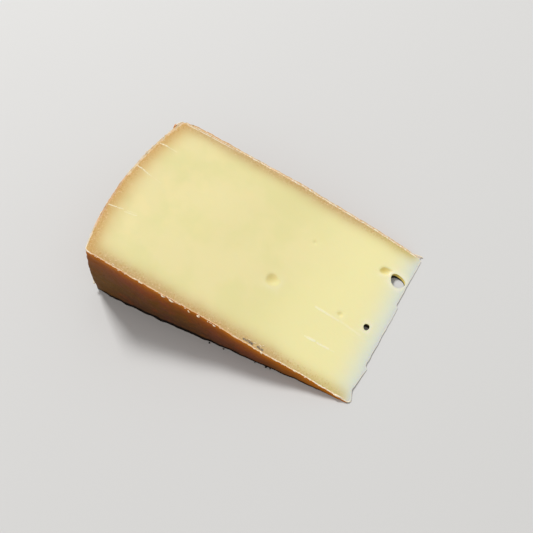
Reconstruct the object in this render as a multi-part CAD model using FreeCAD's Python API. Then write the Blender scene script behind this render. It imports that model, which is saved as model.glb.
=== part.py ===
"""A thin radial wedge of hard mountain cheese, cut from a wheel and lying on one of its two cut faces.

X runs from the heel, the outside of the wheel, to the tip at the wheel's axis. Y runs across the wheel's
height from one flat rind (the near one) to the other (the far one). Z is up, and the lower cut face lies on
Z = 0. The origin is the centre of the bounding box's bottom. Sizes are in millimetres, angles in degrees.
"""
import FreeCAD, Part
import math
import os

# The wheel that the wedge is cut from.
CORNER_RADIUS = 144.5    # from the wheel's axis to the corners between the flat rinds and the heel
HEEL_BULGE = 6.7         # how far the heel swells out past its corners
WHEEL_HEIGHT = 88.2      # between the two flat rinds, at the wheel's axis
NEAR_RISE = 2.1          # the near rind leans out by this much from the axis to the heel
FAR_RISE = 0.6           # the far rind leans out by this much from the axis to the heel
FAR_DOME = 1.96          # the far rind swells by this much, half way from the axis to the heel
NEAR_ROUNDING = 1.5      # radius of the near corner of the heel
FAR_ROUNDING = 2.4       # radius of the far corner of the heel

# The cut.
WEDGE_ANGLE = 16.0       # between the two cut faces, about a twenty-second of the wheel

# The broken tip: shallow chips, each a slanted bite, most of them with a step between. A chip starts and ends at a
# share of half the wheel's height, from 1 at the far rind to -1 at the near one, and its two depths are
# measured from the wheel's axis.
TIP_CHIPS = (
    # start, end, depth at start, depth at end
    (1.00, 0.29, 1.00, 2.30),
    (0.28, -0.55, 0.90, 2.45),
    (-0.56, -0.85, 1.00, 2.90),
    (-0.86, -1.00, 2.85, 1.20),
)

# The eyes that open at the upper cut face. An eye is an ellipsoid: its place is its distance from the
# wheel's axis and from mid height, its half sizes lie along the cut face, and it is as deep as given.
THROUGH_EYES = (
    # from axis, from mid height, half length, half width, turn of the long side
    (7.2, 25.2, 4.1, 3.3, -21.0),
    (10.5, -5.9, 1.4, 1.7, 0.0),
)
BLIND_EYES = (
    # from axis, from mid height, half length, half width, turn of the long side, depth
    (15.0, 27.1, 2.5, 1.8, 10.0, 1.3),
    (62.2, -9.0, 3.1, 2.9, 0.0, 1.1),
    (24.6, -7.2, 1.7, 1.6, 0.0, 0.5),
)
EYE_OVERREACH = 3.0      # how far a through eye's ellipsoid stands out past both cut faces


def section_point(radius, across):
    """A point of the wheel's half section, which is drawn on the lower cut face."""
    return FreeCAD.Vector(-radius, across, 0)


def tip_points():
    """The ragged line of the tip, from the far rind to the near one."""
    half = WHEEL_HEIGHT / 2
    points = []
    for start, end, depth_at_start, depth_at_end in TIP_CHIPS:
        points.append(section_point(depth_at_start, start * half))
        points.append(section_point(depth_at_end, end * half))
    return points


def half_section():
    """The closed outline of the wheel's half section, from the tip to the heel."""
    half = WHEEL_HEIGHT / 2
    tip = tip_points()
    near_corner = section_point(CORNER_RADIUS, -half - NEAR_RISE)
    far_corner = section_point(CORNER_RADIUS, half + FAR_RISE)
    heel_middle = section_point(CORNER_RADIUS + HEEL_BULGE, (FAR_RISE - NEAR_RISE) / 2)
    far_middle = section_point(CORNER_RADIUS / 2, half + FAR_RISE / 2 + FAR_DOME)
    edges = [Part.LineSegment(a, b).toShape() for a, b in zip(tip, tip[1:])]
    edges.append(Part.LineSegment(tip[-1], near_corner).toShape())
    edges.append(Part.Arc(near_corner, heel_middle, far_corner).toShape())
    edges.append(Part.Arc(far_corner, far_middle, tip[0]).toShape())
    return Part.Face(Part.Wire(edges))


def swept_section():
    """The half section turned about the wheel's axis by the wedge's angle."""
    axis = FreeCAD.Vector(0, 1, 0)
    return half_section().revolve(FreeCAD.Vector(0, 0, 0), axis, WEDGE_ANGLE)


def corner_edge(solid, across):
    """The long curved edge that runs along one corner of the heel."""
    half_turn = math.radians(WEDGE_ANGLE / 2)
    middle = FreeCAD.Vector(-CORNER_RADIUS * math.cos(half_turn), across, CORNER_RADIUS * math.sin(half_turn))
    probe = Part.Vertex(middle)
    return min(solid.Edges, key=lambda edge: edge.distToShape(probe)[0])


def rounded_wedge():
    """The wedge with the two corners of its heel rounded."""
    half = WHEEL_HEIGHT / 2
    wedge = swept_section()
    wedge = wedge.makeFillet(NEAR_ROUNDING, [corner_edge(wedge, -half - NEAR_RISE)])
    return wedge.makeFillet(FAR_ROUNDING, [corner_edge(wedge, half + FAR_RISE)])


def ellipsoid(half_length, half_width, half_depth, turn):
    """An ellipsoid about the origin, its long side turned within the XY plane."""
    stretch = FreeCAD.Matrix()
    stretch.scale(half_length, half_width, half_depth)
    shape = Part.makeSphere(1.0).transformGeometry(stretch)
    shape.rotate(FreeCAD.Vector(0, 0, 0), FreeCAD.Vector(0, 0, 1), turn)
    return shape


def put_at(shape, from_axis, from_middle, angle, lift):
    """Lay a shape on the plane at an angle above the lower cut face, lifted off that plane."""
    shape.translate(FreeCAD.Vector(-from_axis, from_middle, lift))
    shape.rotate(FreeCAD.Vector(0, 0, 0), FreeCAD.Vector(0, 1, 0), angle)
    return shape


def through_eye(from_axis, from_middle, half_length, half_width, turn):
    """An eye that the knife opened on both cut faces."""
    half_depth = from_axis * math.tan(math.radians(WEDGE_ANGLE / 2)) + EYE_OVERREACH
    shape = ellipsoid(half_length, half_width, half_depth, turn)
    return put_at(shape, from_axis, from_middle, WEDGE_ANGLE / 2, 0.0)


def blind_eye(from_axis, from_middle, half_length, half_width, turn, depth):
    """A shallow eye of which only the bottom is left in the upper cut face."""
    shape = ellipsoid(half_length, half_width, depth, turn)
    return put_at(shape, from_axis, from_middle, WEDGE_ANGLE, 0.0)


def cheese_wedge():
    """The whole wedge with its eyes, moved so that the origin is the centre of its bottom."""
    eyes = [through_eye(*eye) for eye in THROUGH_EYES]
    eyes += [blind_eye(*eye) for eye in BLIND_EYES]
    wedge = rounded_wedge().cut(eyes)
    box = wedge.optimalBoundingBox(False, False)
    wedge.translate(FreeCAD.Vector(-box.Center.x, -box.Center.y, -box.ZMin))
    return wedge.Solids[0]


os.makedirs("parts", exist_ok=True)
cheese_wedge().exportStep("parts/cheese_wedge.step")
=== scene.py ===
"""A thin radial wedge of hard mountain cheese, lying on one cut face on a plain pale floor.

The file is laid out as a Blender add-on and is run as a script. The wheel's section, the cut and the eyes
are worked out with numpy from the sizes in the property groups. Each operator makes one piece or a group of
like pieces, or the stage.
"""

import math
from collections import namedtuple

import bpy
import numpy as np
from bpy.props import FloatProperty, FloatVectorProperty, PointerProperty
from mathutils import Matrix, Vector


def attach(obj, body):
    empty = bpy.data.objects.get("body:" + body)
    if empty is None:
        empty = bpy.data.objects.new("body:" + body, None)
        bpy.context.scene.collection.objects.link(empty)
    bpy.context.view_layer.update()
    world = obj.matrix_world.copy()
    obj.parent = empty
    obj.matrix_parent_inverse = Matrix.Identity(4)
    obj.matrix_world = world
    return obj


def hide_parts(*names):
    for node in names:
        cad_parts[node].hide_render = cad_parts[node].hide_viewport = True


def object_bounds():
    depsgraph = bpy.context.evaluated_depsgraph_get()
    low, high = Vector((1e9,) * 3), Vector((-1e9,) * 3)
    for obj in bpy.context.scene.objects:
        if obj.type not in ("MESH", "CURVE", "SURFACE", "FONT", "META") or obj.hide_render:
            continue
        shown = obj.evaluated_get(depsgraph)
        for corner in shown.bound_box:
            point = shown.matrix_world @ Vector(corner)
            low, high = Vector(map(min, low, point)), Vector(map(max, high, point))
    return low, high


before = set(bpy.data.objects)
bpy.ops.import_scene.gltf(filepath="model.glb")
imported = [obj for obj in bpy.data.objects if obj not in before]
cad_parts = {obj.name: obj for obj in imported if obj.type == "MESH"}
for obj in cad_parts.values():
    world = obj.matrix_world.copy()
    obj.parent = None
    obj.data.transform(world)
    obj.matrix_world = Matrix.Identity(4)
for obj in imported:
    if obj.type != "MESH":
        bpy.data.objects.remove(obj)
CAD_LOW, CAD_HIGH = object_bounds()

bl_info = {
    "name": "Cheese Wedge",
    "version": (1, 0, 0),
    "blender": (4, 5, 0),
    "location": "View3D > Sidebar > Cheese",
    "description": "Builds a wedge of hard mountain cheese with its rind, eyes and cut edges",
    "category": "Add Mesh",
}

MM = 0.001
NODE = "cheese_wedge"
BODY = "root"

# How a written tone becomes a linear share: divided up to TOE_END, and by a power past it.
FULL_TONE = 255
TOE_END = 0.04045
TOE_SLOPE = 12.92
CURVE_LIFT = 0.055
CURVE_POWER = 2.4


def size(name, description, millimetres):
    """A length, written in millimetres and kept in metres."""
    return FloatProperty(
        name=name, description=description, default=millimetres * MM, unit="LENGTH", precision=5)


def angle(name, description, degrees):
    """An angle, written in degrees and kept in radians."""
    return FloatProperty(
        name=name, description=description, default=math.radians(degrees), subtype="ANGLE")


def colour(name, description, *tones):
    """A colour of a finish or of the stage, written as tones and kept as the linear shares of a shader."""
    share = np.array(tones) / FULL_TONE
    curve = ((share + CURVE_LIFT) / (1 + CURVE_LIFT)) ** CURVE_POWER
    linear = np.where(share <= TOE_END, share / TOE_SLOPE, curve).tolist()
    return FloatVectorProperty(name=name, description=description, default=linear, subtype="COLOR")


def place(name, description, *metres):
    """A place of the stage."""
    return FloatVectorProperty(name=name, description=description, default=metres, subtype="TRANSLATION")


# ----------------------------------------------------------------------
# Sizes and colours


class WheelSizes(bpy.types.PropertyGroup):
    """The wheel that the wedge is cut from, and the cut."""

    corner_radius: size("Corner radius", "From the wheel's axis to the corners of its heel", 144.5)
    heel_bulge: size("Heel bulge", "How far the heel swells out past its corners", 6.7)
    height: size("Height", "Between the two flat rinds, at the wheel's axis", 88.2)
    near_rise: size("Near rise", "How far the near rind leans out from the axis to the heel", 2.1)
    far_rise: size("Far rise", "How far the far rind leans out from the axis to the heel", 0.6)
    far_dome: size("Far dome", "How far the far rind swells, half way to the heel", 1.96)
    near_rounding: size("Near rounding", "Radius of the near corner of the heel", 1.5)
    far_rounding: size("Far rounding", "Radius of the far corner of the heel", 2.4)
    wedge_angle: angle("Wedge angle", "Between the two cut faces", 16.0)


class ReliefSizes(bpy.types.PropertyGroup):
    """The small unevenness of the wedge's surfaces."""

    rind: size("Rind", "Spread of the rind's bumps and dips", 0.09)
    knife_wave: size("Knife wave", "Spread of the long waves left in the upper cut face", 0.10)
    edge_ridge: size("Edge ridge", "Height of the frayed ridge along the upper cut edges", 0.24)
    edge_lift: size("Edge lift", "How far the lower edge of the rind curls up off the floor", 0.35)
    # This pushes the lowest edge of the near rind out, as a flare that carries the painted contact shadow.
    contact_shadow_flange: size("Foot spread", "How far the lowest edge of the near rind is pressed out", 1.6)
    tip_fray: size("Tip fray", "Spread of the fine notches in the tip", 0.12)
    corner_chip: size("Corner chip", "Depth of the bite off the far corner of the heel", 1.05)


class PasteColours(bpy.types.PropertyGroup):
    """The colours of the cut paste."""

    body: colour("Body", "Most of the cut face", 237, 225, 167)
    warm: colour("Warm", "Warm clouds, more of them towards the heel", 241, 227, 168)
    fresh: colour("Fresh", "Duller, greener clouds", 232, 223, 161)
    light: colour("Light", "Lighter paste towards the tip", 245, 236, 175)
    rim: colour("Rim", "Inside the flat rinds", 199, 165, 108)
    rim_tip: colour("Rim at the tip", "Inside the flat rinds, near the tip", 202, 180, 105)
    heel_rim: colour("Heel rim", "Inside the heel", 209, 167, 98)
    tip: colour("Tip", "The thin, pale edge of the tip", 208, 210, 209)
    tip_inner: colour("Inner tip", "The thin paste inside the tip", 226, 229, 207)
    cut_line: colour("Cut line", "The frayed line along the cut edges", 238, 206, 162)
    frayed: colour("Frayed", "Dry curls and flecks of paste", 251, 241, 217)
    curl_shade: colour("Curl shade", "The deeper parts of the dry curls", 243, 222, 184)
    sand: colour("Sand", "Deeper grains in the band inside the rinds", 196, 146, 78)
    lip: colour("Lip", "The strip of rind that shows outside the far cut line", 206, 146, 84)
    eye: colour("Eye", "The skin of the eyes", 222, 198, 100)
    # Painted shade on the lower walls of the through eyes.
    eye_wall_shade: colour("Deep eye", "The lower walls of the eyes that go right through", 40, 34, 18)
    crack: colour("Crack", "Fine pale cracks and knife marks", 250, 242, 206)
    smear: colour("Smear", "The grey mark beside the near rind", 98, 90, 88)


class RindColours(bpy.types.PropertyGroup):
    """The colours of the washed rind."""

    brown: colour("Brown", "Most of the rind", 119, 66, 50)
    olive: colour("Olive", "Duller patches", 110, 76, 20)
    lower: colour("Lower", "The lower part", 89, 62, 51)
    red: colour("Red", "Reddish patches and the upper part", 160, 70, 12)
    ochre: colour("Ochre", "Lighter patches, more of them towards the tip", 172, 110, 32)
    edge: colour("Edge", "The band under the upper cut edge", 218, 128, 12)
    # Painted contact shadow: the near black of the rind's lowest edge and of the crumbs along it.
    dark: colour("Dark", "Fine dark specks", 40, 26, 18)
    contact_shadow: colour("Contact", "The lowest edge, and crumbs along it", 20, 14, 10)


class StageSettings(bpy.types.PropertyGroup):
    """The floor, the lamp and the camera."""

    floor: colour("Floor", "The plain floor", 206, 205, 203)
    world: FloatProperty(name="World", description="Strength of the light from all round", default=0.52)
    key: FloatProperty(name="Key", description="Power of the soft lamp", default=75.0, unit="POWER")
    key_width: size("Key width", "Side of the square lamp", 660)
    key_place: place("Key place", "Where the lamp stands; it faces the wedge", -1.65, 1.11, 2.31)
    camera_place: place("Camera place", "Where the camera stands", 0.11886, -0.16599, 0.32627)
    heading: angle("Heading", "Which way the camera looks, turned from +Y towards +X", -33.783)
    tilt: angle("Tilt", "How far down the camera looks", 57.832)
    roll: angle("Roll", "How far the camera leans to the right", -6.398)
    lens: FloatProperty(name="Lens", description="Focal length", default=50.0, unit="CAMERA")


# ----------------------------------------------------------------------
# Places on the cheese, in millimetres from the wheel's axis and from its mid height

# The broken tip: where each chip starts and ends, as shares of half the height from the far rind (1) to the
# near one (-1), and how deep it is at both ends.
TIP_CHIPS = (
    (1.00, 0.975, 2.00, 2.30),
    (0.965, 0.29, 1.00, 2.30),
    (0.28, -0.55, 0.90, 2.45),
    (-0.56, -0.85, 1.00, 2.90),
    (-0.86, -0.96, 2.85, 1.20),
    (-0.965, -1.00, 1.15, 2.40),
)
TIP_MEAN = 1.2           # how far the tip would lie from the axis without its chips
TIP_FADE = 3.0           # how soon the chips' raggedness dies out towards the heel

Eye = namedtuple(
    "Eye", "from_axis from_middle length width turn lobes lobe_turn cells depth lean lip soft skin")
# The eyes. length and width are half sizes, and turn is the angle of the long side, from the way to the
# heel towards the far rind. The outline's lobes stand out by a share of its size, one of them at lobe_turn.
# cells is how many of the mesh's cells the eye takes each way. depth is None for an eye that goes right
# through: its lower part lies nearer by lean, and its far wall is painted dark as shade from lip under
# the upper face.
# soft is the power that shapes a blind eye's hollow, a half for a ball's and more for a soft rim, and skin
# is how much of the eye's own colour it has. An eye that cuts into another comes after it, so its rim stays
# whole.
EYES = (
    Eye(15.0, 26.7, 3.2, 2.4, -10, 0.084, -46, (4, 4), 0.65, 0.0, 0.0, 0.9, 1.0),
    Eye(7.24, 25.24, 4.28, 3.52, 20.6, 0.060, 41, (7, 5), None, 0.9, 0.85, 0.5, 1.0),
    Eye(10.5, -5.9, 1.65, 1.95, 0, 0.03, 20, (3, 3), None, 0.2, 0.6, 0.5, 1.0),
    Eye(61.6, -9.4, 3.6, 3.3, 0, 0.05, 60, (5, 5), 0.65, 0.0, 0.0, 1.2, 0.55),
    Eye(24.6, -7.2, 1.8, 1.6, 0, 0.05, 0, (3, 3), 0.35, 0.0, 0.0, 1.5, 0.30),
    Eye(52.9, 20.4, 1.6, 1.4, 0, 0.05, 90, (3, 3), 0.18, 0.0, 0.0, 1.5, 0.10),
)
EYE_LOBES = 3            # in each eye's outline
EYE_REACH = 1.9          # how far round an eye the mesh is drawn in, counted in sizes of the eye
EYE_WAIST = 3.4          # half the depth of the hollow that a through eye is cut from
# The dark on a through eye's wall is painted shade.
LIP_FADE = 0.35          # how far down the wall of a through eye takes to turn dark
LIP_MIDDLE = 0.3         # the share of its lip that an eye has half way between its near and its far wall
RIM_MARGIN = 0.01        # how near to 1 a share of an eye's size counts as its rim
HALO_START = 1.15        # where the pale ring round an eye starts to fade, counted in sizes of the eye
HALO_WIDTH = 0.3         # how soon it fades, in sizes too
SIDE_MIDDLE = 0.7        # how much of a hollow's own colour its middle has
# The growth towards the heel and the far rind is painted shade, on the walls that face away from the lamp.
SHADE_SIDE_GROWTH = 0.4        # how much more of it lies towards the heel and the far rind
SIDE_LEAST = 0.35        # the least of it

Stroke = namedtuple("Stroke", "start end width strength")
# Fine marks on the upper cut face, from end to end.
CRACKS = (
    Stroke((147.4, 25.0), (143.6, 25.6), 0.55, 0.9),
    Stroke((143.6, 25.6), (137.8, 25.3), 0.35, 0.6),
    Stroke((149.6, 7.1), (145.4, 6.9), 0.5, 0.8),
    Stroke((145.0, 6.7), (140.8, 5.9), 0.45, 0.7),
    Stroke((139.8, 5.9), (134.6, 5.2), 0.3, 0.25),
    Stroke((148.9, -19.3), (145.4, -18.6), 0.45, 0.9),
    Stroke((144.6, -18.5), (141.8, -17.6), 0.4, 0.6),
    Stroke((140.4, -18.6), (134.6, -17.1), 0.4, 0.65),
    Stroke((139.6, -17.4), (135.2, -16.1), 0.3, 0.4),
)
KNIFE_MARKS = (
    Stroke((36.6, -10.3), (30.0, -10.5), 0.80, 0.80),
    Stroke((30.0, -10.5), (24.0, -10.7), 0.70, 0.65),
    Stroke((22.6, -10.5), (11.5, -11.4), 0.80, 0.40),
    Stroke((34.6, -26.6), (32.9, -26.5), 0.50, 0.60),
    Stroke((32.9, -26.5), (29.4, -26.2), 0.85, 1.0),
    Stroke((27.6, -26.4), (21.7, -26.1), 0.65, 0.95),
    Stroke((20.4, -26.1), (18.6, -26.0), 0.40, 0.50),
)
SMEARS = (
    Stroke((58.6, -43.55), (56.4, -43.45), 0.70, 0.95),
    Stroke((56.4, -43.45), (53.9, -43.65), 0.85, 1.0),
    Stroke((51.1, -43.4), (48.4, -43.75), 0.75, 0.9),
)

Burr = namedtuple("Burr", "start middle end width thickness lift")
# Curls of dry paste at given places, each bent over three points. width and thickness are half sizes, and
# lift is how far the curl's middle stands off the upper cut face.
BURRS = (
    Burr((4.4, -43.9), (2.4, -44.2), (0.8, -42.5), 0.26, 0.12, 0.05),
    Burr((10.0, -44.5), (7.6, -44.2), (5.0, -43.8), 0.50, 0.16, 0.22),
    Burr((6.0, 44.2), (3.0, 44.7), (0.9, 44.9), 0.34, 0.16, 0.05),
    Burr((146.9, 38.6), (146.2, 41.2), (144.5, 43.4), 0.32, 0.20, 0.05),
    Burr((102.4, -45.9), (101.5, -46.2), (100.2, -45.8), 0.30, 0.16, 0.12),
    Burr((98.2, -45.7), (97.0, -46.1), (95.4, -45.7), 0.34, 0.15, 0.12),
    Burr((117.6, -45.6), (116.8, -45.9), (116.0, -45.5), 0.34, 0.20, 0.15),
    Burr((87.9, -45.4), (87.2, -46.1), (86.5, -45.9), 0.24, 0.14, 0.10),
    Burr((83.2, -45.3), (82.2, -45.9), (81.5, -45.4), 0.30, 0.18, 0.15),
    Burr((74.4, -45.2), (73.6, -45.7), (72.8, -45.2), 0.30, 0.18, 0.12),
    Burr((56.0, -44.7), (54.9, -44.9), (53.6, -44.6), 0.34, 0.18, 0.12),
    Burr((49.0, -44.7), (48.2, -45.1), (47.5, -44.8), 0.50, 0.28, 0.20),
    Burr((46.8, -44.7), (46.0, -45.0), (45.2, -44.6), 0.30, 0.18, 0.12),
    Burr((56.6, -42.9), (55.8, -42.5), (55.1, -42.8), 0.16, 0.08, 0.10),
    Burr((53.9, -42.4), (53.0, -42.6), (52.4, -42.2), 0.15, 0.08, 0.08),
    Burr((51.2, -42.3), (50.2, -42.2), (49.6, -42.7), 0.20, 0.10, 0.12),
    Burr((49.4, -42.0), (48.9, -41.4), (48.6, -41.7), 0.16, 0.08, 0.10),
    Burr((130.2, -45.5), (129.4, -44.9), (128.6, -45.3), 0.22, 0.12, 0.10),
)

Chip = namedtuple("Chip", "from_axis from_middle turn length width thickness")
# Bits that cling to the rind, at a share of the turn from the lower cut face to the upper one. Sizes are
# half sizes.
CORNER_CHIPS = (
    Chip(147.0, 38.6, 0.985, 1.50, 0.80, 0.50),
    Chip(146.0, 40.6, 0.975, 1.00, 0.50, 0.35),
)
# Near-black crumbs along the lower edge of the near rind, coloured as specks of the painted contact shadow.
FOOT_CRUMBS = (
    Chip(75.4, -46.8, 0.020, 0.50, 0.38, 0.33),
    Chip(67.5, -46.6, 0.022, 0.50, 0.38, 0.33),
    Chip(50.4, -45.8, 0.028, 0.45, 0.34, 0.30),
    Chip(44.4, -45.6, 0.035, 0.65, 0.48, 0.40),
    Chip(42.3, -45.4, 0.035, 0.50, 0.38, 0.32),
)
PASTE_CRUMBS = (
    Chip(144.7, -45.7, 0.120, 0.90, 0.70, 0.60),
    Chip(145.0, -45.0, 0.145, 0.55, 0.48, 0.42),
)


# ----------------------------------------------------------------------
# The shape of the wedge. A point of it has three shares from 0 to 1: along, from the tip to the heel;
# across, from the near rind to the far one; and turn, from the lower cut face to the upper one.

Spacing = namedtuple("Spacing", "coarse start start_reach end end_reach")
# How far apart the mesh's lines lie: coarse in the middle, and finer within a reach of either end.
ALONG = Spacing(0.86 * MM, 0.34 * MM, 14 * MM, 0.17 * MM, 3 * MM)
ACROSS = Spacing(0.84 * MM, 0.17 * MM, 3 * MM, 0.17 * MM, 3 * MM)
TURN = Spacing(1.25 * MM, 0.22 * MM, 2.2 * MM, 0.22 * MM, 2.2 * MM)
SPACING_SAMPLES = 6001   # at which the spacing is summed

WAVE_COUNT = 30          # plane waves in a patch of noise
WAVE_LENGTHS = (0.7, 1.6)    # the shortest and longest of them, as shares of the noise's length

Rough = namedtuple("Rough", "length share seed")
# Unevenness made of noise of several lengths, each by its share.
TIP_NOTCHES = (Rough(5 * MM, 0.7, 11), Rough(1.6 * MM, 0.4, 12))
RIND_BUMPS = (Rough(7 * MM, 0.8, 21), Rough(2.6 * MM, 0.5, 22), Rough(30 * MM, 1.6, 23))
KNIFE_WAVES = (Rough(38 * MM, 1.0, 31),)
EDGE_FRAY = (Rough(2.2 * MM, 0.55, 32), Rough(9 * MM, 0.35, 33))
FRAY_RANGE = (0.1, 2.2)  # the least and the most of the frayed ridge, as shares of its height
FOOT_WAVES = (Rough(9 * MM, 0.12, 41),)
FOOT_RANGE = (0.2, 2.0)  # the least and the most of the lower edge's lift, as shares of it


def graded(length, spacing):
    """Shares from 0 to 1 along a length. Away from each end the spacing nears the coarse one by a falling
    exponential of the distance over its reach. Lines lie at whole steps of the summed inverse spacing."""
    spot = np.linspace(0, length, SPACING_SAMPLES)
    coarse = spacing.coarse
    from_start = coarse + (spacing.start - coarse) * np.exp(-spot / spacing.start_reach)
    from_end = coarse + (spacing.end - coarse) * np.exp((spot - length) / spacing.end_reach)
    density = 1 / np.minimum(from_start, from_end)
    steps = np.concatenate(([0], np.cumsum((density[1:] + density[:-1]) / 2 * np.diff(spot))))
    return np.interp(np.linspace(0, steps[-1], round(steps[-1]) + 1), steps, spot) / length


def waves(points, length, seed):
    """Smooth noise about 0 with a spread of 1: the sum of plane waves of random heading and phase, whose
    lengths lie near the given one."""
    draw = np.random.default_rng(seed)
    heading = draw.normal(size=(WAVE_COUNT, 3))
    heading /= np.linalg.norm(heading, axis=1, keepdims=True)
    pace = 2 * math.pi / (length * draw.uniform(*WAVE_LENGTHS, WAVE_COUNT))
    phase = draw.uniform(0, 2 * math.pi, WAVE_COUNT)
    return np.cos(points @ (heading * pace[:, None]).T + phase).sum(axis=1) * math.sqrt(2 / WAVE_COUNT)


def unevenness(points, layers):
    """The sum of noise of several lengths, each times its share."""
    return sum(layer.share * waves(points, layer.length, layer.seed) for layer in layers)


def bell(distance, width):
    """A smooth bump: the exponential of minus the square of distance over width."""
    return np.exp(-((distance / width) ** 2))


def eased(share):
    """A share held between 0 and 1 and eased at both ends: three times its square less twice its cube."""
    share = np.clip(share, 0, 1)
    return share * share * (3 - 2 * share)


def tip_line(wheel, relief, height):
    """Distance of the ragged tip from the wheel's axis: straight from end to end of each chip, with a step
    between two chips, plus fine notches."""
    starts, stops, start_depths, stop_depths = np.array(TIP_CHIPS).T
    places = np.stack([starts, stops], axis=1).ravel()
    depths = np.stack([start_depths, stop_depths], axis=1).ravel()
    chips = np.interp(height / (wheel.height / 2), places[::-1], depths[::-1] * MM)
    line = np.stack([height, 0 * height, 0 * height], axis=1)
    return chips + relief.tip_fray * unevenness(line, TIP_NOTCHES)


def section(wheel, relief, along, across):
    """Points of the wheel's half section, and their depths. Height runs straight from the near rind to the
    far one, whose dome is a parabola, and radius from the tip to the heel, whose bulge is a parabola. Each
    corner of the heel is rounded by drawing squares about the rounding's centre in to circles."""
    half = wheel.height / 2
    near = -half - wheel.near_rise * along
    far = half + wheel.far_rise * along + wheel.far_dome * 4 * along * (1 - along)
    height = near + (far - near) * across
    middle = (wheel.far_rise - wheel.near_rise) / 2
    reach = half + (wheel.far_rise + wheel.near_rise) / 2
    heel = wheel.corner_radius + wheel.heel_bulge * (1 - ((height - middle) / reach) ** 2)
    ragged = tip_line(wheel, relief, height) - TIP_MEAN * MM
    tip = TIP_MEAN * MM + ragged * np.exp(-along * wheel.corner_radius / (TIP_FADE * MM))
    radius = tip + (heel - tip) * along
    depths = {
        "from_tip": radius - tip,
        "from_heel": heel - radius,
        "from_near": height - near,
        "from_far": far - height,
    }
    for rounding, wall, side in ((wheel.near_rounding, near, 1), (wheel.far_rounding, far, -1)):
        out_heel = np.clip(1 - depths["from_heel"] / rounding, 0, 1)
        out_flat = np.clip(1 - np.abs(height - wall) / rounding, 0, 1)
        inside = (out_heel > 0) & (out_flat > 0)
        draw_in = np.maximum(out_heel, out_flat) / np.maximum(np.hypot(out_heel, out_flat), 1e-9)
        radius = np.where(inside, heel - rounding * (1 - out_heel * draw_in), radius)
        height = np.where(inside, wall + side * rounding * (1 - out_flat * draw_in), height)
    return radius, height, depths


def axis_place(wheel):
    """X of the wheel's axis, which lies along Y past the tip, and Y of the wheel's mid height. They centre
    the wedge's box on the origin."""
    shallowest = min(depth for chip in TIP_CHIPS for depth in chip[2:])
    return CAD_HIGH[0] + shallowest * MM, (wheel.near_rise - wheel.far_rise / 2 - wheel.far_dome) / 2


def placed(wheel, radius, height, turn):
    """Points in the part's own frame: the section turned about the wheel's axis."""
    axis_x, middle_y = axis_place(wheel)
    phi = wheel.wedge_angle * turn
    return np.stack([axis_x - radius * np.cos(phi), height + middle_y, radius * np.sin(phi)], axis=-1)


def face_normal(wheel):
    """The way out of the upper cut face."""
    return np.array([math.sin(wheel.wedge_angle), 0, math.cos(wheel.wedge_angle)])


def draw_eye(wheel, eye, share, radius, height, turn):
    """Draw the mesh's cells together round an eye. share is each vertex's place about the eye's middle,
    counted in sizes of its block of cells. Squares of cells become rings of a lobed oval, and further out
    they ease back to where they were. Gives the new radius and height, and the share of the way from the
    middle to the rim."""
    rim = np.abs(share).max(axis=1)
    round_the_eye = np.arctan2(share[:, 1], share[:, 0])
    from_lobe = round_the_eye - math.radians(eye.lobe_turn - eye.turn)
    ring = rim * (1 + eye.lobes * np.cos(EYE_LOBES * from_lobe))
    long_way = ring * np.cos(round_the_eye) * eye.length
    wide_way = ring * np.sin(round_the_eye) * eye.width
    lean = 0.0
    if eye.depth is None:
        waist = np.sqrt(1 - ((turn - 0.5) * wheel.wedge_angle * eye.from_axis / EYE_WAIST) ** 2)
        long_way = long_way * waist
        wide_way = wide_way * waist
        lean = eye.lean * (1 - eased(2 * turn - 1))
    tilt = math.radians(eye.turn)
    eye_radius = (eye.from_axis + long_way * math.cos(tilt) - wide_way * math.sin(tilt)) * MM
    across_eye = long_way * math.sin(tilt) + wide_way * math.cos(tilt)
    eye_height = (eye.from_middle - lean + across_eye) * MM
    ease = eased((rim - 1) / (EYE_REACH - 1))
    return eye_radius + (radius - eye_radius) * ease, eye_height + (height - eye_height) * ease, rim


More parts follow.
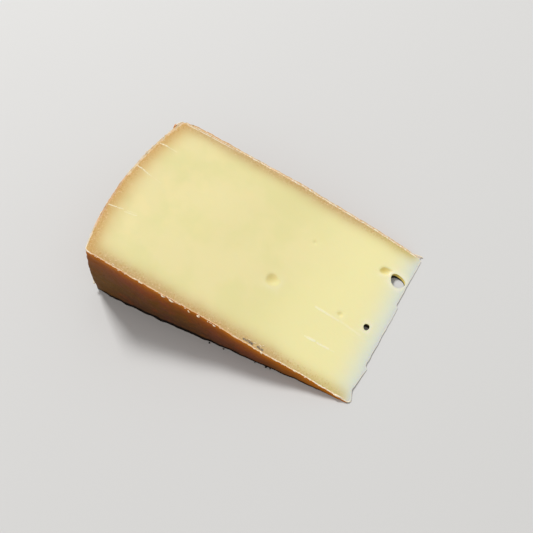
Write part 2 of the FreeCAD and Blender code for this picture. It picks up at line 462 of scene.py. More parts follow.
class Lattice:
    """The wedge as a block of cells, its through eyes left out, and the skin of quads round the kept
    cells."""

    def __init__(self, wheel, relief):
        self.along = graded(wheel.corner_radius, ALONG)
        self.across = graded(wheel.height, ACROSS)
        self.turn = graded(wheel.corner_radius * wheel.wedge_angle, TURN)
        self.counts = np.array([len(self.along), len(self.across), len(self.turn)]) - 1
        self.middles = [self.cell_nearest(wheel, relief, eye) for eye in EYES]
        kept = np.ones(self.counts, bool)
        for eye, (i, j) in zip(EYES, self.middles):
            if eye.depth is None:
                long_way, wide_way = eye.cells
                kept[i - long_way:i + long_way, j - wide_way:j + wide_way, :] = False
        self.skin(kept)

    def cell_nearest(self, wheel, relief, eye):
        """The numbers of the mesh lines, along and across, that cross nearest to an eye's middle."""
        i, j = (lines.ravel() for lines in np.indices((len(self.along), len(self.across))))
        radius, height = section(wheel, relief, self.along[i], self.across[j])[:2]
        nearest = np.argmin(np.hypot(radius - eye.from_axis * MM, height - eye.from_middle * MM))
        return i[nearest], j[nearest]

    def skin(self, kept):
        """The quads between a kept cell and an empty one, wound to face the empty side. axis is the one
        that a quad crosses, 0 to 2 for along, across and turn, and plane is its plane's number there."""
        padded = np.pad(kept, 1)
        quads = []
        for axis in range(3):
            cells = np.moveaxis(padded, axis, 0)[:, 1:-1, 1:-1]
            plane, b, c = np.nonzero(cells[:-1] != cells[1:])
            kept_below = cells[:-1][plane, b, c]
            ring = [np.insert(np.stack([b + db, c + dc]), axis, plane, axis=0)
                    for db, dc in ((0, 0), (1, 0), (1, 1), (0, 1))]
            quad = np.stack(ring, axis=2)
            # The lattice is left-handed, because a larger share along lies at a smaller X, and with the
            # crossed axis in the middle the winding turns over once more.
            turn_over = kept_below ^ (axis == 1)
            quads.append(np.where(turn_over[:, None], quad[:, :, ::-1], quad))
        self.axis = np.concatenate([np.full(quad.shape[1], axis) for axis, quad in enumerate(quads)])
        self.corners = np.concatenate(quads, axis=1)
        self.plane = self.corners[self.axis, np.arange(len(self.axis)), 0]
        lines = self.counts + 1
        corner = np.ravel_multi_index(tuple(self.corners), lines)
        number, vertex = np.unique(corner, return_inverse=True)
        self.quads = vertex.reshape(-1, 4)
        self.index = np.stack(np.unravel_index(number, lines), axis=1)

    def on_rind(self):
        """Which quads are rind: the two flat sides and the heel."""
        flat = (self.axis == 1) & np.isin(self.plane, (0, self.counts[1]))
        heel = (self.axis == 0) & (self.plane == self.counts[0])
        return flat | heel


RIND_SKIN = 1.5 * MM     # how deep under the rind its bumps move the wedge
RIDGE_WIDTH = 0.42 * MM  # of the frayed ridge, in from the edge
THICK_FROM = 4 * MM      # from the axis: where the knife's waves and the ridge begin
THICK_BY = 26 * MM       # from the axis: where they are full
CHIP_LENGTH = 3.7 * MM   # of the corner chip, from the heel
CHIP_END = 2.3 * MM      # how soon the chip runs out past its length
CHIP_DOWN = 3.0 * MM     # of the corner chip, down from the upper cut face
CHIP_SKIN = 1.4 * MM     # how deep under the far rind the chip still shows
FOOT_DEPTH = 2.2 * MM    # in from the rind: where its lower edge starts to leave the floor
FOOT_HEIGHT = 3.0 * MM   # above the floor: where the lift has died out
FOOT_AT = 100 * MM       # from the axis: where the lower edge is lifted most
FOOT_REACH = 40 * MM     # how soon the lift grows less on both sides of that
FOOT_LEAST = 0.3         # the share of the lift that is left far from there
SHADOW_FLANGE_HEIGHT = 1.3 * MM  # above the floor: where the flange that carries the painted contact shadow ends
SHADOW_FLANGE_SKIN = 1.0 * MM   # how deep under the near rind the flange reaches
SHADOW_FLANGE_START = 14 * MM   # from the heel: where the flange is full


def wedge_shape(wheel, relief):
    """The wedge's lattice, its vertices, what the finishes need to know of each vertex, and the places that
    the flat sheet is laid out by."""
    lattice = Lattice(wheel, relief)
    index = lattice.index
    lines = (lattice.along, lattice.across, lattice.turn)
    along, across, turn = (line[number] for line, number in zip(lines, index.T))
    radius, height, depths = section(wheel, relief, along, across)
    on_top = turn == 1
    hollow_depth, eye_skin_and_shade, eye_wall_shade, eye_halo_and_highlight = np.zeros((4, len(index)))
    for eye, middle in zip(EYES, lattice.middles):
        share = (index[:, :2] - middle) / np.array(eye.cells)
        radius, height, rim = draw_eye(wheel, eye, share, radius, height, turn)
        halo = bell(np.maximum(rim - HALO_START, 0), HALO_WIDTH) * (rim > 1 + RIM_MARGIN) * on_top
        if eye.depth is None:
            wall = (np.abs(rim - 1) < RIM_MARGIN) & ~on_top
            down = radius * wheel.wedge_angle * (1 - turn) / MM
            eye_skin_and_shade = np.maximum(eye_skin_and_shade, eye.skin * wall)
            # Below its lip, the wall of a through eye is painted dark as shade.
            lip = eye.lip * np.clip(share.sum(axis=1) / 2 + LIP_MIDDLE, 0, 1)
            eye_wall_shade = np.maximum(eye_wall_shade, wall * eased((down - lip) / LIP_FADE))
        else:
            hollow = np.clip(1 - rim * rim, 0, 1) ** eye.soft * on_top
            hollow_depth += eye.depth * MM * hollow
            # A blind eye's own colour grows towards the heel and the far rind, whose walls face away from
            # the lamp: painted shade.
            side = np.clip(SIDE_MIDDLE + SHADE_SIDE_GROWTH * share.sum(axis=1), SIDE_LEAST, 1)
            eye_skin_and_shade = np.maximum(eye_skin_and_shade, eye.skin * side * hollow ** 0.5)
            # A blind eye's pale ring is kept to the side that faces the lamp: a painted highlight.
            halo = halo * eye.skin * (1 - side)
        eye_halo_and_highlight = np.maximum(eye_halo_and_highlight, halo)
    points = placed(wheel, radius, height, turn)
    phi = wheel.wedge_angle * turn
    from_cut = radius * (wheel.wedge_angle - phi)

    # The rind's bumps move the section's outline, and what lies just inside it, in and out.
    bumps = relief.rind * unevenness(points, RIND_BUMPS)
    sides = ("from_near", "from_far", "from_heel")
    near, far, heel = (np.exp(-depths[side] / RIND_SKIN) for side in sides)
    points[:, 1] += bumps * (far - near)
    points += (bumps * heel)[:, None] * np.stack([-np.cos(phi), 0 * phi, np.sin(phi)], axis=1)

    # A bite off the far corner of the heel, at the upper cut face.
    bite = eased(1 - from_cut / CHIP_DOWN) * np.exp(-depths["from_far"] / CHIP_SKIN)
    bite *= np.exp(-np.maximum(depths["from_heel"] - CHIP_LENGTH, 0) / CHIP_END)
    points[:, 1] -= relief.corner_chip * bite

    # Off the upper cut face: the knife's long waves, the frayed ridge along the edge and the eyes' hollows.
    thick = np.clip((radius - THICK_FROM) / (THICK_BY - THICK_FROM), 0, 1)
    depth = np.minimum(depths["from_heel"], np.minimum(depths["from_near"], depths["from_far"]))
    fray = np.clip(1 + unevenness(points, EDGE_FRAY), *FRAY_RANGE)
    lift = relief.knife_wave * thick * unevenness(points, KNIFE_WAVES) * turn
    lift += relief.edge_ridge * thick * fray * bell(depth, RIDGE_WIDTH) * on_top - hollow_depth
    points += lift[:, None] * face_normal(wheel)

    # The lower edge of the rind is curled up off the floor, and the near one is pushed out unevenly into a
    # flare that carries the painted contact shadow.
    uneven = np.clip(1 + unevenness(points, FOOT_WAVES), *FOOT_RANGE) * np.clip(radius / THICK_BY, 0, 1)
    uneven *= FOOT_LEAST + (1 - FOOT_LEAST) * bell(radius - FOOT_AT, FOOT_REACH)
    foot = np.clip(1 - depth / FOOT_DEPTH, 0, 1) ** 2 * np.clip(1 - points[:, 2] / FOOT_HEIGHT, 0, 1)
    spread = np.clip(1 - points[:, 2] / SHADOW_FLANGE_HEIGHT, 0, 1)
    spread *= np.exp(-depths["from_near"] / SHADOW_FLANGE_SKIN) * np.clip(depths["from_heel"] / SHADOW_FLANGE_START, 0, 1)
    points[:, 1] -= relief.contact_shadow_flange * uneven * spread
    points[:, 2] = np.maximum(points[:, 2] + relief.edge_lift * uneven * foot, 0)

    facts = {
        "from_flat": np.minimum(depths["from_near"], depths["from_far"]),
        "from_heel": depths["from_heel"],
        "from_tip": depths["from_tip"],
        "from_cut": from_cut,
        "eye_skin_and_shade": eye_skin_and_shade,
        "eye_wall_shade": eye_wall_shade,
        "eye_halo_and_highlight": eye_halo_and_highlight,
    }
    return lattice, points, facts, (radius, height, radius * phi)


SHEET = 240              # side of the flat sheet, in millimetres
SHEET_GAP = 3            # between two of its charts
FACE = 96                # the height of a cut face's chart
RIND_COLUMN = 158        # where the column of the flat rinds' charts begins
RIND_PAIR = 46           # the width of two flat rinds laid head to tail
RIND_TOP = 156           # the height of that pair
EYE_COLUMN = 207         # where the strips of the eyes' walls begin
EYE_STRIP = 4            # from one strip to the next


def sheet_places(lattice, flat):
    """Where each corner of each quad lies on the flat sheet that the finish can be baked to, in shares of
    its side. The two cut faces, the heel and the tip lie as they are, the two flat rinds, which are long
    triangles, lie head to tail, and each wall of a through eye is a strip, laid along the wall's way."""
    radius, height, arc = (values[lattice.quads] / MM for values in flat)
    n_along, n_across, n_turn = lattice.counts
    axis, plane = lattice.axis[:, None], lattice.plane[:, None]
    charts = [
        ((axis == 2) & (plane == n_turn), SHEET_GAP + radius, FACE / 2 + height),
        ((axis == 2) & (plane == 0), SHEET_GAP + radius, FACE * 1.5 + SHEET_GAP + height),
        ((axis == 0) & (plane == n_along), FACE / 2 + height, FACE * 2 + SHEET_GAP + arc),
        ((axis == 0) & (plane == 0), FACE * 1.5 + SHEET_GAP + height, SHEET - SHEET_GAP - arc),
        ((axis == 1) & (plane == 0), RIND_COLUMN + arc, SHEET_GAP + radius),
        ((axis == 1) & (plane == n_across), RIND_COLUMN + RIND_PAIR - arc, RIND_TOP - radius),
    ]
    strip = EYE_COLUMN
    for way, along_wall in ((0, FACE / 2 + height), (1, radius)):
        inner = (axis == way) & (plane > 0) & (plane < lattice.counts[way])
        for wall_plane in np.unique(plane[inner]):
            charts.append((inner & (plane == wall_plane), strip + arc, SHEET_GAP + along_wall))
            strip += EYE_STRIP
    places = np.zeros((*lattice.quads.shape, 2))
    for mask, across_sheet, up_sheet in charts:
        places = np.where(mask[..., None], np.stack([across_sheet, up_sheet], axis=-1), places)
    return places / SHEET


def new_object(name, data):
    """An object of the scene, at the origin."""
    made = bpy.data.objects.new(name, data)
    bpy.context.scene.collection.objects.link(made)
    return made


def new_piece(name, points, faces, *finishes):
    """A smooth mesh object with its finishes."""
    mesh = bpy.data.meshes.new(name)
    mesh.from_pydata(points, [], faces)
    mesh.shade_smooth()
    for finish in finishes:
        mesh.materials.append(finish)
    return new_object(name, mesh)


def note(mesh, name, values):
    """Keep one number for each vertex, for the finishes."""
    mesh.attributes.new(name, "FLOAT", "POINT").data.foreach_set("value", values.astype(np.float32))


# ----------------------------------------------------------------------
# The small bits along the edges

BIT_RINGS = 4
BIT_SECTORS = 6


def unit(vectors):
    """The same ways, each one long."""
    return vectors / np.linalg.norm(vectors, axis=-1, keepdims=True)


def bits(starts, middles, ends, upward, halves, lumps, seed):
    """Closed slim bits, each bent along the parabola through its start, middle and end. A ring is an oval:
    the cosine of the angle times the half width to the side, plus the sine times the half thickness upward.
    Rings shrink towards both ends with the sine of the way along, as a ball's do, and random lumps swell
    them."""
    count = len(starts)
    draw = np.random.default_rng(seed)
    way = np.linspace(0, math.pi, BIT_RINGS + 2)[None, :, None]
    share = (1 - np.cos(way)) / 2
    starts, middles, ends = (np.asarray(points)[:, None, :] for points in (starts, middles, ends))
    bend = 2 * middles - (starts + ends) / 2
    spine = starts * (1 - share) ** 2 + 2 * bend * share * (1 - share) + ends * share ** 2
    onward = unit((bend - starts) * (1 - share) + (ends - bend) * share)
    aside = unit(np.cross(np.broadcast_to(upward, (count, 3))[:, None, :], onward))
    across_bit = np.cross(onward, aside)
    angle_round = np.linspace(0, 2 * math.pi, BIT_SECTORS, endpoint=False)[:, None]
    lumpy = 1 + lumps * draw.uniform(-1, 1, (count, BIT_RINGS + 2, BIT_SECTORS, 1))
    swell = np.sin(way[..., None]) * lumpy
    wide, thick = (np.asarray(halves)[:, side, None, None, None] for side in (0, 1))
    rings = (spine[:, :, None, :] + swell * wide * np.cos(angle_round) * aside[:, :, None, :]
             + swell * thick * np.sin(angle_round) * across_bit[:, :, None, :])
    rings = rings[:, 1:-1].reshape(count, -1, 3)
    points = np.concatenate([spine[:, :1], rings, spine[:, -1:]], axis=1)

    grid = 1 + np.arange(BIT_RINGS * BIT_SECTORS).reshape(BIT_RINGS, BIT_SECTORS)
    after = np.roll(grid, -1, axis=1)
    bands = np.stack([grid[:-1], after[:-1], after[1:], grid[1:]], axis=-1).reshape(-1, 4)
    last = points.shape[1] - 1
    caps = np.vstack([np.stack([0 * grid[0], after[0], grid[0]], axis=1),
                      np.stack([0 * grid[0] + last, grid[-1], after[-1]], axis=1)])
    faces = []
    for first in range(0, count * (last + 1), last + 1):
        faces += (bands + first).tolist() + (caps + first).tolist()
    points = points.reshape(-1, 3)
    points[:, 2] = np.maximum(points[:, 2], 0)
    return points, faces


def joined(*shapes):
    """Several shapes' points and faces as one."""
    points = np.vstack([shape[0] for shape in shapes])
    faces, first = [], 0
    for shape in shapes:
        faces += [[first + vertex for vertex in face] for face in shape[1]]
        first += len(shape[0])
    return points, faces


Fringe = namedtuple("Fringe", "along across out count")
# Where the edge frays: the shares between which its curls lie, the way out of the cheese, in radius and
# height, and how many curls there are.
FRINGES = (
    Fringe((0.07, 0.96), (0.0, 0.0), (0, -1), 84),
    Fringe((0.04, 0.93), (1.0, 1.0), (0, 1), 36),
    Fringe((1.0, 1.0), (0.07, 0.92), (1, 0), 32),
)
FRINGE_SEED = 5
# The least and the most of each size of a fraying curl, in millimetres.
CURL_HALF_LENGTH = (0.25, 0.95)
CURL_HALF_WIDTH = (0.06, 0.20)
CURL_HALF_THICKNESS = (0.05, 0.11)
CURL_BOW = (-0.1, 0.3)   # out from the edge, half way along the curl
CURL_STAND = (0.02, 0.16)    # up from the cut face
CURL_ASKEW = 0.12        # spread of the ends about the edge
CURL_LUMPS = 0.25
BURR_LUMPS = 0.22
BURR_SEED = 8
CHIP_LUMPS = 0.3
CHIP_LEVEL = (1, 1, 0.4)     # how a chip's random way is drawn towards the level


def fringe_curls(wheel, relief):
    """Small curls of dry paste that fray off the upper cut edges. Each lies along its edge, as far to both
    sides of its spot, and bows out from it."""
    draw = np.random.default_rng(FRINGE_SEED)
    spans = np.array([[wheel.corner_radius], [wheel.height]])
    shapes = []
    for number, fringe in enumerate(FRINGES):
        count = fringe.count
        low, high = np.array([fringe.along, fringe.across]).T[:, :, None]
        spot = low + (high - low) * draw.random(count)
        half_step = draw.uniform(*CURL_HALF_LENGTH, count) * MM / spans * (high > low)
        ends = []
        for shares in (spot - half_step, spot + half_step):
            radius, height = section(wheel, relief, *shares)[:2]
            askew = draw.normal(0, CURL_ASKEW, count) * MM
            ends.append(np.stack([radius, height]) + np.outer(fringe.out, askew))
        bow = draw.uniform(*CURL_BOW, count) * MM
        middle = sum(ends) / 2 + np.outer(fringe.out, bow)
        stand = draw.uniform(*CURL_STAND, (count, 1)) * MM * face_normal(wheel)
        halves = [draw.uniform(*limits, count) * MM for limits in (CURL_HALF_WIDTH, CURL_HALF_THICKNESS)]
        starts, middles, stops = (placed(wheel, *spots, 1.0) for spots in (ends[0], middle, ends[1]))
        shapes.append(bits(starts, middles + stand, stops, face_normal(wheel), np.stack(halves, axis=1),
                           CURL_LUMPS, number))
    return joined(*shapes)


def burr_curls(wheel):
    """The larger curls, each at its own place."""
    places = np.array([(burr.start, burr.middle, burr.end) for burr in BURRS]) * MM
    starts, middles, ends = (placed(wheel, *places[:, stop].T, 1.0) for stop in range(3))
    middles = middles + np.array([[burr.lift] for burr in BURRS]) * MM * face_normal(wheel)
    halves = np.array([(burr.width, burr.thickness) for burr in BURRS]) * MM
    return bits(starts, middles, ends, face_normal(wheel), halves, BURR_LUMPS, BURR_SEED)


def clinging_chips(wheel, chips, seed):
    """Chunky bits, each a lumpy ball stretched along a random way, at given places."""
    draw = np.random.default_rng(seed)
    radius, height, turn = np.array([chip[:3] for chip in chips]).T
    middles = placed(wheel, radius * MM, height * MM, turn)
    sizes = np.array([chip[3:] for chip in chips]) * MM
    lengthwise = unit(draw.normal(size=(len(chips), 3)) * CHIP_LEVEL) * sizes[:, :1]
    starts, ends = middles - lengthwise, middles + lengthwise
    return bits(starts, middles, ends, (0, 0, 1), sizes[:, 1:], CHIP_LUMPS, seed)


# ----------------------------------------------------------------------
# Finishes


def math_method(operation, swapped=False):
    """A method that adds one Math node for a number and another value, or for the two in swapped order."""

    def method(self, other):
        return self.math(operation, *((other, self) if swapped else (self, other)))

    return method


class Number:
    """A socket of a finish. Python's operators on it add Math nodes."""

    def __init__(self, finish, socket):
        self.finish = finish
        self.socket = socket

    def math(self, operation, *values):
        return self.finish.node("ShaderNodeMath", {"operation": operation}, dict(enumerate(values)))

    __add__ = __radd__ = math_method("ADD")
    __sub__ = math_method("SUBTRACT")
    __rsub__ = math_method("SUBTRACT", swapped=True)
    __mul__ = __rmul__ = math_method("MULTIPLY")
    __truediv__ = math_method("DIVIDE")
    __pow__ = math_method("POWER")
    least = math_method("MINIMUM")
    most = math_method("MAXIMUM")

    def rise(self, low, high):
        """0 below low and 1 above high, eased between the two."""
        values = {"Value": self, "From Min": low, "From Max": high}
        return self.finish.node("ShaderNodeMapRange", {"interpolation_type": "SMOOTHSTEP"}, values)

    def fall(self, low, high):
        """1 below low and 0 above high, eased between the two."""
        return 1 - self.rise(low, high)

    def fade(self, width):
        """1 at 0 and less above it: the exponential of minus the number over width."""
        return self.math("EXPONENT", self * (-1 / width))

    def bell(self, width):
        """1 at 0 and less on both sides: the exponential of minus the square of the number over width."""
        return self.math("EXPONENT", self * self * (-1 / width ** 2))


class Finish:
    """A material and the few kinds of node that its finishes are written with."""

    def __init__(self, name):
        self.material = bpy.data.materials.new(name)
        self.material.use_nodes = True
        self.tree = self.material.node_tree
        self.tree.nodes.clear()
        self.place = self.node("ShaderNodeTexCoord", {}, {}, "Object")

    def node(self, kind, settings, values, output=0):
        """Add a node: first its settings, then the values or links of its sockets. Gives one output."""
        node = self.tree.nodes.new(kind)
        for name, value in settings.items():
            setattr(node, name, value)
        for name, value in values.items():
            if isinstance(value, Number):
                self.tree.links.new(value.socket, node.inputs[name])
            elif node.inputs[name].type == "RGBA":
                node.inputs[name].default_value = (*value[:3], 1)
            else:
                node.inputs[name].default_value = value
        return Number(self, node.outputs[output])

    def fact(self, name):
        """A number kept at each vertex."""
        settings = {"attribute_name": name, "attribute_type": "GEOMETRY"}
        return self.node("ShaderNodeAttribute", settings, {}, "Fac")

    def noise(self, millimetres, detail=2, roughness=0.5):
        """Noise from 0 to 1 whose patches are about a length across. Mapping scales it, because the noise's
        own scale ends at 1000."""
        scale = (1 / (millimetres * MM),) * 3
        place = self.node("ShaderNodeMapping", {}, {"Vector": self.place, "Scale": scale})
        values = {"Vector": place, "Scale": 1.0, "Detail": detail, "Roughness": roughness}
        return self.node("ShaderNodeTexNoise", {}, values, "Fac")

    def mix(self, share, first, second):
        """A colour: the first where the share is 0, the second where it is 1."""
        return self.node("ShaderNodeMix", {"data_type": "RGBA"}, {0: share, 6: first, 7: second}, 2)

    def layered(self, base, *layers):
        """A colour with others laid over it in turn, each by its own share."""
        for share, colour_over in layers:
            base = self.mix(share, base, colour_over)
        return base

    def wheel_place(self, wheel):
        """How far out from the wheel's axis a point lies, how far above the floor, and how far from the
        middle of the wheel's height, in millimetres."""
        axis_x, middle_y = axis_place(wheel)
        x, y, z = (self.node("ShaderNodeSeparateXYZ", {}, {"Vector": self.place}, side) for side in "XYZ")
        return (axis_x - x) / MM, z / MM, (y - middle_y) / MM

    def bump(self, height, millimetres):
        """A Normal tilted as if the surface stood out by height times a distance."""
        values = {"Height": height, "Distance": millimetres * MM, "Strength": 1.0}
        return self.node("ShaderNodeBump", {}, values)

    def shade(self, **values):
        """The surface itself. A double underscore in a socket's name stands for a space."""
        sockets = {name.replace("__", " "): value for name, value in values.items()}
        surface = self.node("ShaderNodeBsdfPrincipled", {}, sockets)
        output = self.tree.nodes.new("ShaderNodeOutputMaterial")
        self.tree.links.new(surface.socket, output.inputs["Surface"])
        return self.material


STROKE_CORE = 0.1        # how much narrower than its width the full part of a stroke is, on each side
CHEESE_IOR = 1.45        # how strongly a cheese's surface bends light
# Lengths of the paste's bands and lines, in millimetres.
FLAT_BAND = 4.6          # how far the brown band inside the flat rinds reaches at the tip
FLAT_BAND_MORE = 1.0     # and how much further at the heel
HEEL_BAND = 6.8          # how far the band inside the heel reaches
TIP_EDGE = 1.4           # how far the pale edge of the tip reaches
TIP_INNER = 9            # how far the greenish paste inside it reaches
LINE_FULL = 0.35         # how far in the frayed line is full
LINE_END = 0.75          # and where it ends
FAR_INSET = 0.45         # how much further in it lies along the far rind
HEEL_INSET = 0.3         # and along the heel
SECOND_AT = 1.65         # how far in the second, broken line lies
SECOND_WIDTH = 0.24


def drawn(radius, height, strokes):
    """A mask of strokes: each is full near the line between its ends, and fades out by its full width. A
    point's distance from a line is measured to the nearest point between the ends."""
    mask = None
    for (start_r, start_h), (end_r, end_h), width, strength in strokes:
        run_r, run_h = end_r - start_r, end_h - start_h
        off_r, off_h = radius - start_r, height - start_h
        share = (off_r * run_r + off_h * run_h) / (run_r ** 2 + run_h ** 2)
        share = share.most(0.0).least(1.0)
        away_r, away_h = off_r - share * run_r, off_h - share * run_h
        distance = (away_r * away_r + away_h * away_h) ** 0.5
        line = distance.fall(width / 2 - STROKE_CORE, width) * strength
        mask = line if mask is None else mask.most(line)
    return mask


def paste_finish(wheel, colours):
    """Smooth, slightly moist paste: softly clouded, browner towards the rind, pale towards the thin tip,
    with a frayed line along its cut edges and fine marks on the upper face, and with painted shade and
    highlights in the eyes. Lengths are in millimetres."""
    paste = Finish("cut_paste")
    out, up, height = paste.wheel_place(wheel)
    radius = (out * out + up * up) ** 0.5
    depths = ("from_flat", "from_heel", "from_tip")
    from_flat, from_heel, from_tip = (paste.fact(name) / MM for name in depths)
    depth = from_flat.least(from_heel)
    wander = (paste.noise(2.4) - 0.5) * 1.1
    cloud = paste.noise(26, detail=3)
    patch = paste.noise(12)
    grain = paste.noise(0.55, detail=3, roughness=0.65)
    uneven = (paste.noise(9, detail=3) - 0.5) * 2.2
    ragged = (paste.noise(1.3, roughness=0.7) - 0.5) * 0.7
    sand = paste.noise(0.9, detail=3, roughness=0.7)

    # The band inside the flat rinds is narrower, weaker and greener towards the tip.
    full = radius.rise(30, 48)
    band = ((from_flat + uneven * (0.4 + full * 0.6)) / (FLAT_BAND + full * FLAT_BAND_MORE)).bell(1.0)
    band = band * (0.84 + full * 0.16 + height.rise(0, 1) * 0.12).least(1.0) * from_tip.rise(-2.5, 6.5)
    band_colour = paste.mix(radius.rise(8, 44), colours.rim_tip, colours.rim)

    # Cracks, knife marks and smears show on the upper face only.
    on_top = (up - out * math.tan(wheel.wedge_angle / 2)).rise(0.0, 0.05)
    cracks = drawn(radius, height + wander, CRACKS) * on_top * grain.rise(0.30, 0.50)
    marks = drawn(radius, height + wander * 0.5, KNIFE_MARKS) * on_top * grain.rise(0.25, 0.50)
    smears = drawn(radius, height + wander * 0.5, SMEARS) * on_top * grain.rise(0.38, 0.52)

    # The frayed line follows the edges, on the far side a little further in, outside of which a trace of
    # rind shows. Towards the far corner of the heel a second, broken line runs inside the first, and the
    # near corner of the heel is paler.
    far_side = height.rise(0, 1) * from_heel.rise(0.6, 1.6)
    near_corner = height.fall(-38, -28) * from_heel.fall(2, 4)
    heel_side = from_flat.rise(0.6, 1.6) * from_heel.fall(2, 4) * height.rise(-38, -28)
    edge = depth - far_side * FAR_INSET - heel_side * HEEL_INSET + ragged
    tuft = paste.noise(1.1).rise(0.42, 0.60) * (1 - heel_side * 0.6)
    line_colour = paste.layered(
        colours.cut_line,
        (tuft, colours.frayed),
        (height.fall(-1, 0) * radius.rise(34, 50) * 0.5, colours.lip),
        (near_corner * 0.7, colours.frayed),
    )
    corner = far_side * radius.rise(104, 122)
    broken = paste.noise(3.2).rise(0.34, 0.46)
    second = (depth - SECOND_AT + ragged * 0.6).bell(SECOND_WIDTH) * corner * from_heel.rise(2, 4) * broken

    base = paste.layered(
        colours.body,
        (cloud.rise(0.42, 0.62), colours.fresh),
        (patch.rise(0.45, 0.7) * from_heel.fall(5, 80) * 0.8, colours.warm),
        (radius.fall(24, 74) * 0.9, colours.light),
        (from_tip.bell(TIP_INNER), colours.tip_inner),
        (band, band_colour),
        ((from_heel + uneven).bell(HEEL_BAND), colours.heel_rim),
        (from_tip.fade(TIP_EDGE), colours.tip),
        ((from_tip + ragged).fall(0.15, 0.8) * 0.6, colours.frayed),
        (sand.fall(0.36, 0.44) * depth.fall(1.5, 6) * from_tip.rise(4, 20) * 0.8, colours.sand),
        (sand.rise(0.57, 0.66) * depth.fall(1.5, 7) * 0.75, colours.cut_line),
        (grain.rise(0.56, 0.72) * depth.fall(0.6, 5) * 0.3, colours.frayed),
        # A pale ring round the eyes, on a blind eye kept to the side that faces the lamp as a painted
        # highlight.
        (paste.fact("eye_halo_and_highlight") * 0.55, colours.frayed),
        # The eyes' own skin, on a blind eye grown towards the walls turned from the lamp as painted shade.
        (paste.fact("eye_skin_and_shade"), colours.eye),
        # Painted shade on the lower walls of the through eyes.
        (paste.fact("eye_wall_shade"), colours.eye_wall_shade),
        (cracks.most(marks), colours.crack),
        (smears, colours.smear),
        (edge.fall(LINE_FULL, LINE_END) * from_tip.rise(0.5, 4), line_colour),
        (edge.fall(-0.35, 0.1) * far_side * 0.65, colours.lip),
        (edge.fall(0.0, 0.5) * corner * 0.6, colours.lip),
        (second * 0.85, colours.frayed),
    )
    relief = grain * 0.05 + paste.noise(2.0) * 0.08 + cracks * 0.25 + marks * 0.12
    return paste.shade(
        Base__Color=base, Roughness=0.44 + grain * 0.1 + depth.fall(0, 5) * 0.12,
        Normal=paste.bump(relief, 0.35), IOR=CHEESE_IOR, Specular__IOR__Level=0.35,
        Subsurface__Weight=0.25, Subsurface__Radius=(1.0, 0.7, 0.35), Subsurface__Scale=2.5 * MM,
    )


def rind_finish(wheel, colours):
    """Washed rind: brown with olive, reddish and ochre patches and dark specks, orange under the upper cut
    edge, and near black along the floor as painted contact shadow. Lengths are in millimetres."""
    rind = Finish("washed_rind")
    out, up, height = rind.wheel_place(wheel)
    from_cut = rind.fact("from_cut") / MM
    blotch = rind.noise(20, detail=3, roughness=0.6)
    patch = rind.noise(9, detail=3, roughness=0.6)
    mottle = rind.noise(2.2, detail=4, roughness=0.7)
    speck = rind.noise(0.7, roughness=0.6)
    wander = (rind.noise(4, detail=3) - 0.5) * 2.4
    rise = up / (out * math.tan(wheel.wedge_angle))
    toward_tip = (out.fall(8, 56) * 0.7 + (blotch - 0.5) * 0.3).most(0.0).least(0.8)

    # Away from the near side, the upper part of the rind is browner.
    browner = height.rise(-42, -12)
    under_cut = (from_cut + wander).most(0.0).fade(8) * (0.8 - browner * 0.35)
    cut_edge = (from_cut + wander * 0.5 - 0.6).most(0.0).fade(3.0) * 0.92
    # Painted contact shadow: the lowest edge is nearly black, and the band is widest where the edge is
    # lifted most.
    foot = ((out - FOOT_AT / MM).bell(FOOT_REACH / MM) * 0.3 + 1.0) * out.rise(-10, 28)

    base = rind.layered(
        colours.brown,
        (blotch.fall(0.38, 0.62), colours.olive),
        (rise.fall(0.0, 0.75) * 0.7, colours.lower),
        ((out - 116).rise(0, 22) * 0.6, colours.olive),
        (patch.rise(0.52, 0.72) * 0.35, colours.red),
        (under_cut, colours.red),
        (toward_tip, colours.ochre),
        (mottle.rise(0.5, 0.75) * 0.25, colours.ochre),
        (speck.rise(0.6, 0.72) * 0.5, colours.dark),
        (cut_edge, rind.mix(browner * 0.65, colours.edge, colours.ochre)),
        # Painted contact shadow along the lowest edge.
        ((up + wander * 0.15).fall(foot - 0.45, foot), colours.contact_shadow),
    )
    relief = mottle * 0.5 + speck * 0.25 + patch * 0.6
    return rind.shade(
        Base__Color=base, Roughness=0.52 + mottle * 0.22,
        Normal=rind.bump(relief, 0.35), IOR=CHEESE_IOR, Specular__IOR__Level=0.1,
        Subsurface__Weight=0.05, Subsurface__Radius=(1.0, 0.5, 0.25), Subsurface__Scale=1.0 * MM,
    )


def dry_finish(name, light, deep):
    """Dry, crumbly bits of two mingled colours."""
    dry = Finish(name)
    grain = dry.noise(0.6, detail=3, roughness=0.7)
    return dry.shade(
        Base__Color=dry.mix(grain.rise(0.40, 0.60), deep, light), Roughness=0.62,
        Normal=dry.bump(grain, 0.12), IOR=CHEESE_IOR, Specular__IOR__Level=0.3,
    )


# ----------------------------------------------------------------------
# Operators


def ride_along(piece):
    """Fix a piece to the cheese."""
    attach(piece, BODY)


class CHEESE_OT_wedge(bpy.types.Operator):
    """Make the wedge itself: its cut faces, rind, eyes and broken tip"""

    bl_idname = "cheese.wedge"
    bl_label = "Wedge"

    sharp_angle = math.radians(38)

    def execute(self, context):
        scene = context.scene
        wheel = scene.cheese_wheel
        lattice, points, facts, flat = wedge_shape(wheel, scene.cheese_relief)
        finishes = paste_finish(wheel, scene.cheese_paste), rind_finish(wheel, scene.cheese_rind)
        piece = new_piece("wedge", points, lattice.quads, *finishes)
        mesh = piece.data
        mesh.polygons.foreach_set("material_index", lattice.on_rind().astype(np.int32))
        for name, values in facts.items():
            note(mesh, name, values)
        sheet = mesh.uv_layers.new(name="OFBake")
        sheet.uv.foreach_set("vector", sheet_places(lattice, flat).astype(np.float32).ravel())
        mesh.set_sharp_from_angle(angle=self.sharp_angle)
        ride_along(piece)
        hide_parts(NODE)
        return {"FINISHED"}


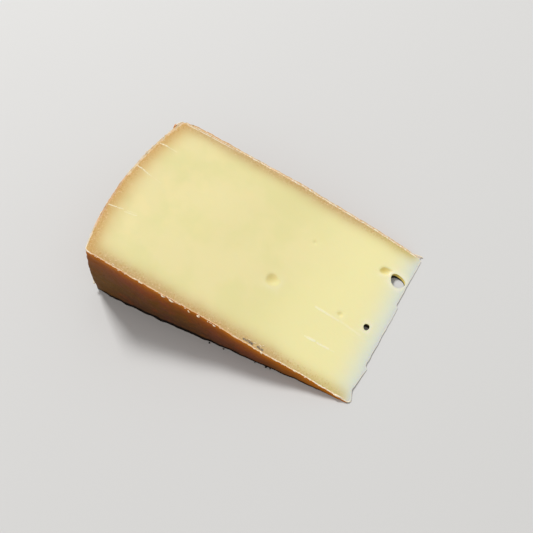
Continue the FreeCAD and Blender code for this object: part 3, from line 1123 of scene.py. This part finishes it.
class CHEESE_OT_curls(bpy.types.Operator):
    """Make the curls and crumbs of dry paste along the cut edges"""

    bl_idname = "cheese.curls"
    bl_label = "Curls"

    def execute(self, context):
        wheel, paste = context.scene.cheese_wheel, context.scene.cheese_paste
        crumbs = clinging_chips(wheel, PASTE_CRUMBS, seed=9)
        curls = joined(fringe_curls(wheel, context.scene.cheese_relief), burr_curls(wheel), crumbs)
        finish = dry_finish("dried_paste", paste.frayed, paste.curl_shade)
        ride_along(new_piece("edge_curls", *curls, finish))
        return {"FINISHED"}


class CHEESE_OT_chips(bpy.types.Operator):
    """Make the chips of rind at the far corner and the dark crumbs along the lower edge, which are coloured
    as specks of painted contact shadow
    """

    bl_idname = "cheese.chips"
    bl_label = "Chips"

    def execute(self, context):
        wheel, rind = context.scene.cheese_wheel, context.scene.cheese_rind
        chips = clinging_chips(wheel, CORNER_CHIPS, seed=12)
        ride_along(new_piece("rind_chips", *chips, dry_finish("chipped_rind", rind.edge, rind.ochre)))
        crumbs = clinging_chips(wheel, FOOT_CRUMBS, seed=14)
        ride_along(new_piece("foot_crumbs", *crumbs, dry_finish("foot_shadow_specks", rind.dark, rind.contact_shadow)))
        return {"FINISHED"}


class CHEESE_OT_stage(bpy.types.Operator):
    """Make the floor, the lamp, the even light from all round and the camera"""

    bl_idname = "cheese.stage"
    bl_label = "Stage"

    floor_reach = 4.0
    floor_roughness = 0.8
    near_clip = 0.01

    def execute(self, context):
        stage = context.scene.cheese_stage
        reach = self.floor_reach
        corners = [(-reach, -reach, 0), (reach, -reach, 0), (reach, reach, 0), (-reach, reach, 0)]
        paint = Finish("floor_paint").shade(Base__Color=stage.floor, Roughness=self.floor_roughness)
        new_piece("floor", corners, [(0, 1, 2, 3)], paint)
        self.lamp(stage)
        self.world(stage)
        self.camera(stage)
        context.scene.view_settings.view_transform = "Standard"
        return {"FINISHED"}

    def lamp(self, stage):
        """A square lamp that faces the wedge."""
        light = bpy.data.lights.new("key_lamp", "AREA")
        light.energy = stage.key
        light.size = stage.key_width
        away = Vector(stage.key_place)
        turned = (-away).to_track_quat("-Z", "Y").to_matrix().to_4x4()
        new_object("key_lamp", light).matrix_world = Matrix.Translation(away) @ turned

    def world(self, stage):
        """An even white light."""
        world = bpy.data.worlds.new("soft_world")
        world.use_nodes = True
        background = world.node_tree.nodes["Background"]
        background.inputs["Color"].default_value = (1, 1, 1, 1)
        background.inputs["Strength"].default_value = stage.world
        bpy.context.scene.world = world

    def camera(self, stage):
        """The camera. It looks the way of its heading and tilt, and its right and up are turned by its
        roll."""
        view = bpy.data.cameras.new("camera")
        view.lens = stage.lens
        view.clip_start = self.near_clip
        camera = new_object("camera", view)
        heading, tilt, roll = stage.heading, stage.tilt, stage.roll
        ahead = np.array([math.sin(heading), math.cos(heading), 0])
        look = ahead * math.cos(tilt) - np.array([0, 0, math.sin(tilt)])
        level = np.array([math.cos(heading), -math.sin(heading), 0])
        upright = np.cross(level, look)
        right = level * math.cos(roll) + upright * math.sin(roll)
        up = upright * math.cos(roll) - level * math.sin(roll)
        turned = Matrix(np.stack([right, up, -look], axis=1).tolist()).to_4x4()
        camera.matrix_world = Matrix.Translation(stage.camera_place) @ turned
        bpy.context.scene.camera = camera


class CHEESE_PT_panel(bpy.types.Panel):
    """Lists what the add-on makes, and its sizes and colours"""

    bl_label = "Cheese Wedge"
    bl_idname = "CHEESE_PT_panel"
    bl_space_type = "VIEW_3D"
    bl_region_type = "UI"
    bl_category = "Cheese"

    def draw(self, context):
        for operator in OPERATORS:
            self.layout.operator(operator.bl_idname)
        for group, kind in GROUPS.items():
            box = self.layout.box()
            for name in kind.__annotations__:
                box.prop(getattr(context.scene, group), name)


GROUPS = {
    "cheese_wheel": WheelSizes,
    "cheese_relief": ReliefSizes,
    "cheese_paste": PasteColours,
    "cheese_rind": RindColours,
    "cheese_stage": StageSettings,
}
OPERATORS = (CHEESE_OT_wedge, CHEESE_OT_curls, CHEESE_OT_chips, CHEESE_OT_stage)


def register():
    for group, kind in GROUPS.items():
        bpy.utils.register_class(kind)
        setattr(bpy.types.Scene, group, PointerProperty(type=kind))
    for kind in (*OPERATORS, CHEESE_PT_panel):
        bpy.utils.register_class(kind)


def unregister():
    for kind in (CHEESE_PT_panel, *reversed(OPERATORS)):
        bpy.utils.unregister_class(kind)
    for group, kind in GROUPS.items():
        delattr(bpy.types.Scene, group)
        bpy.utils.unregister_class(kind)


def main():
    """Make every piece and the stage."""
    register()
    bpy.ops.cheese.wedge()
    bpy.ops.cheese.curls()
    bpy.ops.cheese.chips()
    bpy.ops.cheese.stage()


if __name__ == "__main__":
    main()
